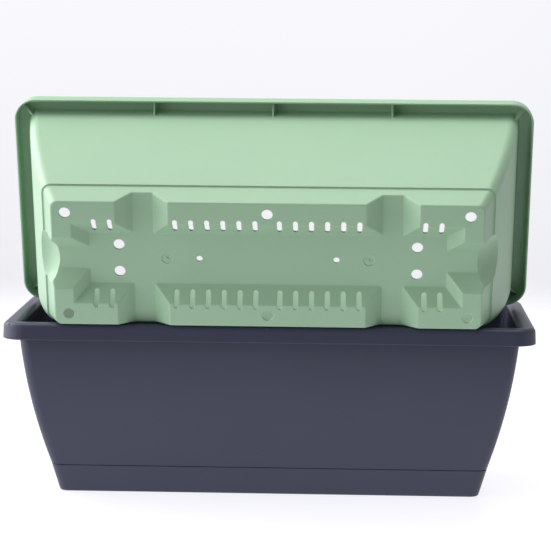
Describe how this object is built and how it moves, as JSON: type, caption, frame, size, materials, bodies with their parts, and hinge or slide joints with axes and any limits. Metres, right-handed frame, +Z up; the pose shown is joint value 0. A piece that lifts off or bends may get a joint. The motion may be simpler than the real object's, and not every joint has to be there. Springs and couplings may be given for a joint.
{
  "type": "self watering planter",
  "caption": "Rectangular window-box planter in its water tray, with a matching box tipped on its side across the rim, showing its perforated wicking feet.",
  "frame": {"origin": "middle of the water tray's underside, on the ground", "axes": "+X along the planter's length, +Z up; the upper box's perforated underside faces -Y and a little down"},
  "size_m": [0.441, 0.2208, 0.3308],
  "materials": {
    "slate_polypropylene": "satin moulded",
    "green_polypropylene": "satin moulded"
  },
  "bodies": {
    "tray": {"water_tray": "slate_polypropylene"},
    "lower_box": {"lower_planter_box": "slate_polypropylene"},
    "upper_box": {"upper_planter_box": "green_polypropylene"}
  },
  "joints": [
    {"name": "lower_box_lift", "type": "slide", "parent": "tray", "child": "lower_box", "axis": [0, 0, 1], "range_m": [0, 0.06]},
    {"name": "upper_box_lift", "type": "slide", "parent": "lower_box", "child": "upper_box", "axis": [0, 0, 1], "range_m": [0, 0.15]}
  ]
}
